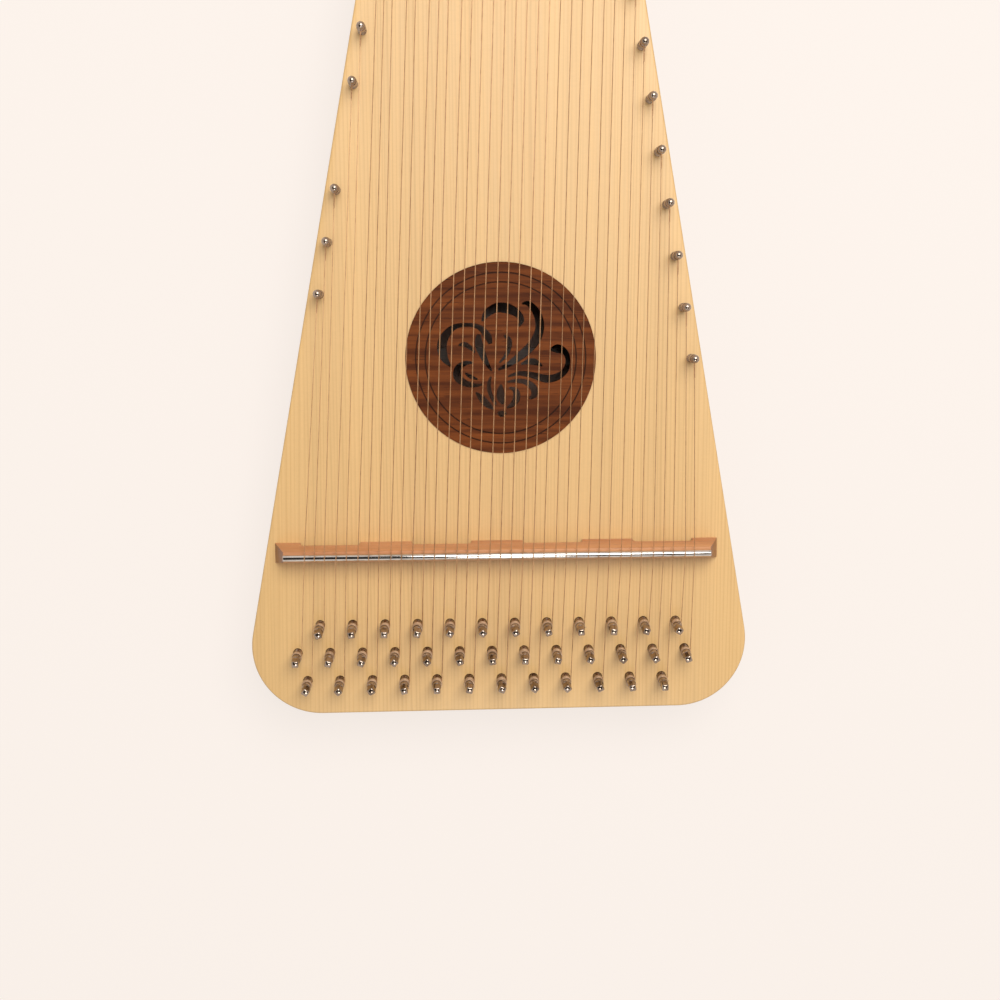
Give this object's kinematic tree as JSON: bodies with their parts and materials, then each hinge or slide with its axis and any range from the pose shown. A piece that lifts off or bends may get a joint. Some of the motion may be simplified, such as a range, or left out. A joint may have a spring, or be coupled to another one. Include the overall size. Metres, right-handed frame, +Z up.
{
  "type": "bowed psaltery",
  "caption": "Bowed psaltery: a long triangular wooden box with a scroll rosette and a bridge, and steel strings from tuning pins at the wide end to hitch pins along both sides.",
  "frame": {"origin": "under the middle of the outline, on the plane that the instrument rests on", "axes": "+Y from the wide tail to the narrow nose, +X to the side of the natural notes, +Z up from the back to the strings"},
  "size_m": [0.2874, 0.8239, 0.0666],
  "materials": {
    "spruce": "satin, straight grain",
    "maple": "satin",
    "beech": "satin, reddish",
    "walnut": "satin, dark",
    "rod_steel": "bright drawn",
    "nickel_pins": "nickel plated",
    "wire": "music wire"
  },
  "bodies": {
    "body": {"soundboard": "spruce", "rosette": "walnut", "back_plate": "spruce", "left_rail": "maple", "right_rail": "maple", "pin_block": "maple", "nose_block": "maple", "soundboard_brace_lower": "spruce", "soundboard_brace_middle": "spruce", "soundboard_brace_upper": "spruce", "back_brace_lower": "spruce", "back_brace_upper": "spruce", "bridge": "beech", "bridge_rod": "rod_steel", "hitch_pins_left": "nickel_pins", "hitch_pins_right": "nickel_pins", "strings_low": "wire", "strings_middle": "wire", "strings_high": "wire"},
    "tuning_pin_01": {"tuning_pin_01": "nickel_pins"},
    "tuning_pin_02": {"tuning_pin_02": "nickel_pins"},
    "tuning_pin_03": {"tuning_pin_03": "nickel_pins"},
    "tuning_pin_04": {"tuning_pin_04": "nickel_pins"},
    "tuning_pin_05": {"tuning_pin_05": "nickel_pins"},
    "tuning_pin_06": {"tuning_pin_06": "nickel_pins"},
    "tuning_pin_07": {"tuning_pin_07": "nickel_pins"},
    "tuning_pin_08": {"tuning_pin_08": "nickel_pins"},
    "tuning_pin_09": {"tuning_pin_09": "nickel_pins"},
    "tuning_pin_10": {"tuning_pin_10": "nickel_pins"},
    "tuning_pin_11": {"tuning_pin_11": "nickel_pins"},
    "tuning_pin_12": {"tuning_pin_12": "nickel_pins"},
    "tuning_pin_13": {"tuning_pin_13": "nickel_pins"},
    "tuning_pin_14": {"tuning_pin_14": "nickel_pins"},
    "tuning_pin_15": {"tuning_pin_15": "nickel_pins"},
    "tuning_pin_16": {"tuning_pin_16": "nickel_pins"},
    "tuning_pin_17": {"tuning_pin_17": "nickel_pins"},
    "tuning_pin_18": {"tuning_pin_18": "nickel_pins"},
    "tuning_pin_19": {"tuning_pin_19": "nickel_pins"},
    "tuning_pin_20": {"tuning_pin_20": "nickel_pins"},
    "tuning_pin_21": {"tuning_pin_21": "nickel_pins"},
    "tuning_pin_22": {"tuning_pin_22": "nickel_pins"},
    "tuning_pin_23": {"tuning_pin_23": "nickel_pins"},
    "tuning_pin_24": {"tuning_pin_24": "nickel_pins"},
    "tuning_pin_25": {"tuning_pin_25": "nickel_pins"},
    "tuning_pin_26": {"tuning_pin_26": "nickel_pins"},
    "tuning_pin_27": {"tuning_pin_27": "nickel_pins"},
    "tuning_pin_28": {"tuning_pin_28": "nickel_pins"},
    "tuning_pin_29": {"tuning_pin_29": "nickel_pins"},
    "tuning_pin_30": {"tuning_pin_30": "nickel_pins"},
    "tuning_pin_31": {"tuning_pin_31": "nickel_pins"},
    "tuning_pin_32": {"tuning_pin_32": "nickel_pins"},
    "tuning_pin_33": {"tuning_pin_33": "nickel_pins"},
    "tuning_pin_34": {"tuning_pin_34": "nickel_pins"},
    "tuning_pin_35": {"tuning_pin_35": "nickel_pins"},
    "tuning_pin_36": {"tuning_pin_36": "nickel_pins"},
    "tuning_pin_37": {"tuning_pin_37": "nickel_pins"}
  },
  "joints": [
    {"name": "pin_01_turn", "type": "hinge", "parent": "body", "child": "tuning_pin_01", "pos_m": [-0.11724, -0.37584, 0.048], "axis": [0, -0.1564, 0.9877], "range_deg": [-45, 1485]},
    {"name": "pin_02_turn", "type": "hinge", "parent": "body", "child": "tuning_pin_02", "pos_m": [-0.11169, -0.3923, 0.048], "axis": [0, -0.1564, 0.9877], "range_deg": [-45, 1485]},
    {"name": "pin_03_turn", "type": "hinge", "parent": "body", "child": "tuning_pin_03", "pos_m": [-0.10404, -0.35924, 0.048], "axis": [0, -0.1564, 0.9877], "range_deg": [-45, 1485]},
    {"name": "pin_04_turn", "type": "hinge", "parent": "body", "child": "tuning_pin_04", "pos_m": [-0.09849, -0.3757, 0.048], "axis": [0, -0.1564, 0.9877], "range_deg": [-45, 1485]},
    {"name": "pin_05_turn", "type": "hinge", "parent": "body", "child": "tuning_pin_05", "pos_m": [-0.09294, -0.39217, 0.048], "axis": [0, -0.1564, 0.9877], "range_deg": [-45, 1485]},
    {"name": "pin_06_turn", "type": "hinge", "parent": "body", "child": "tuning_pin_06", "pos_m": [-0.08529, -0.35911, 0.048], "axis": [0, -0.1564, 0.9877], "range_deg": [-45, 1485]},
    {"name": "pin_07_turn", "type": "hinge", "parent": "body", "child": "tuning_pin_07", "pos_m": [-0.07974, -0.37557, 0.048], "axis": [0, -0.1564, 0.9877], "range_deg": [-45, 1485]},
    {"name": "pin_08_turn", "type": "hinge", "parent": "body", "child": "tuning_pin_08", "pos_m": [-0.07419, -0.39204, 0.048], "axis": [0, -0.1564, 0.9877], "range_deg": [-45, 1485]},
    {"name": "pin_09_turn", "type": "hinge", "parent": "body", "child": "tuning_pin_09", "pos_m": [-0.06654, -0.35898, 0.048], "axis": [0, -0.1564, 0.9877], "range_deg": [-45, 1485]},
    {"name": "pin_10_turn", "type": "hinge", "parent": "body", "child": "tuning_pin_10", "pos_m": [-0.06099, -0.37544, 0.048], "axis": [0, -0.1564, 0.9877], "range_deg": [-45, 1485]},
    {"name": "pin_11_turn", "type": "hinge", "parent": "body", "child": "tuning_pin_11", "pos_m": [-0.05544, -0.3919, 0.048], "axis": [0, -0.1564, 0.9877], "range_deg": [-45, 1485]},
    {"name": "pin_12_turn", "type": "hinge", "parent": "body", "child": "tuning_pin_12", "pos_m": [-0.04779, -0.35885, 0.048], "axis": [0, -0.1564, 0.9877], "range_deg": [-45, 1485]},
    {"name": "pin_13_turn", "type": "hinge", "parent": "body", "child": "tuning_pin_13", "pos_m": [-0.04224, -0.37531, 0.048], "axis": [0, -0.1564, 0.9877], "range_deg": [-45, 1485]},
    {"name": "pin_14_turn", "type": "hinge", "parent": "body", "child": "tuning_pin_14", "pos_m": [-0.03669, -0.39177, 0.048], "axis": [0, -0.1564, 0.9877], "range_deg": [-45, 1485]},
    {"name": "pin_15_turn", "type": "hinge", "parent": "body", "child": "tuning_pin_15", "pos_m": [-0.02904, -0.35872, 0.048], "axis": [0, -0.1564, 0.9877], "range_deg": [-45, 1485]},
    {"name": "pin_16_turn", "type": "hinge", "parent": "body", "child": "tuning_pin_16", "pos_m": [-0.02349, -0.37518, 0.048], "axis": [0, -0.1564, 0.9877], "range_deg": [-45, 1485]},
    {"name": "pin_17_turn", "type": "hinge", "parent": "body", "child": "tuning_pin_17", "pos_m": [-0.01794, -0.39164, 0.048], "axis": [0, -0.1564, 0.9877], "range_deg": [-45, 1485]},
    {"name": "pin_18_turn", "type": "hinge", "parent": "body", "child": "tuning_pin_18", "pos_m": [-0.01029, -0.35859, 0.048], "axis": [0, -0.1564, 0.9877], "range_deg": [-45, 1485]},
    {"name": "pin_19_turn", "type": "hinge", "parent": "body", "child": "tuning_pin_19", "pos_m": [-0.00474, -0.37505, 0.048], "axis": [0, -0.1564, 0.9877], "range_deg": [-45, 1485]},
    {"name": "pin_20_turn", "type": "hinge", "parent": "body", "child": "tuning_pin_20", "pos_m": [0.00081, -0.39151, 0.048], "axis": [0, -0.1564, 0.9877], "range_deg": [-45, 1485]},
    {"name": "pin_21_turn", "type": "hinge", "parent": "body", "child": "tuning_pin_21", "pos_m": [0.00846, -0.35846, 0.048], "axis": [0, -0.1564, 0.9877], "range_deg": [-45, 1485]},
    {"name": "pin_22_turn", "type": "hinge", "parent": "body", "child": "tuning_pin_22", "pos_m": [0.01401, -0.37492, 0.048], "axis": [0, -0.1564, 0.9877], "range_deg": [-45, 1485]},
    {"name": "pin_23_turn", "type": "hinge", "parent": "body", "child": "tuning_pin_23", "pos_m": [0.01956, -0.39138, 0.048], "axis": [0, -0.1564, 0.9877], "range_deg": [-45, 1485]},
    {"name": "pin_24_turn", "type": "hinge", "parent": "body", "child": "tuning_pin_24", "pos_m": [0.02721, -0.35833, 0.048], "axis": [0, -0.1564, 0.9877], "range_deg": [-45, 1485]},
    {"name": "pin_25_turn", "type": "hinge", "parent": "body", "child": "tuning_pin_25", "pos_m": [0.03276, -0.37479, 0.048], "axis": [0, -0.1564, 0.9877], "range_deg": [-45, 1485]},
    {"name": "pin_26_turn", "type": "hinge", "parent": "body", "child": "tuning_pin_26", "pos_m": [0.03831, -0.39125, 0.048], "axis": [0, -0.1564, 0.9877], "range_deg": [-45, 1485]},
    {"name": "pin_27_turn", "type": "hinge", "parent": "body", "child": "tuning_pin_27", "pos_m": [0.04596, -0.3582, 0.048], "axis": [0, -0.1564, 0.9877], "range_deg": [-45, 1485]},
    {"name": "pin_28_turn", "type": "hinge", "parent": "body", "child": "tuning_pin_28", "pos_m": [0.05151, -0.37466, 0.048], "axis": [0, -0.1564, 0.9877], "range_deg": [-45, 1485]},
    {"name": "pin_29_turn", "type": "hinge", "parent": "body", "child": "tuning_pin_29", "pos_m": [0.05706, -0.39112, 0.048], "axis": [0, -0.1564, 0.9877], "range_deg": [-45, 1485]},
    {"name": "pin_30_turn", "type": "hinge", "parent": "body", "child": "tuning_pin_30", "pos_m": [0.06471, -0.35807, 0.048], "axis": [0, -0.1564, 0.9877], "range_deg": [-45, 1485]},
    {"name": "pin_31_turn", "type": "hinge", "parent": "body", "child": "tuning_pin_31", "pos_m": [0.07026, -0.37453, 0.048], "axis": [0, -0.1564, 0.9877], "range_deg": [-45, 1485]},
    {"name": "pin_32_turn", "type": "hinge", "parent": "body", "child": "tuning_pin_32", "pos_m": [0.07581, -0.39099, 0.048], "axis": [0, -0.1564, 0.9877], "range_deg": [-45, 1485]},
    {"name": "pin_33_turn", "type": "hinge", "parent": "body", "child": "tuning_pin_33", "pos_m": [0.08346, -0.35793, 0.048], "axis": [0, -0.1564, 0.9877], "range_deg": [-45, 1485]},
    {"name": "pin_34_turn", "type": "hinge", "parent": "body", "child": "tuning_pin_34", "pos_m": [0.08901, -0.3744, 0.048], "axis": [0, -0.1564, 0.9877], "range_deg": [-45, 1485]},
    {"name": "pin_35_turn", "type": "hinge", "parent": "body", "child": "tuning_pin_35", "pos_m": [0.09456, -0.39086, 0.048], "axis": [0, -0.1564, 0.9877], "range_deg": [-45, 1485]},
    {"name": "pin_36_turn", "type": "hinge", "parent": "body", "child": "tuning_pin_36", "pos_m": [0.10221, -0.3578, 0.048], "axis": [0, -0.1564, 0.9877], "range_deg": [-45, 1485]},
    {"name": "pin_37_turn", "type": "hinge", "parent": "body", "child": "tuning_pin_37", "pos_m": [0.10776, -0.37426, 0.048], "axis": [0, -0.1564, 0.9877], "range_deg": [-45, 1485]}
  ]
}
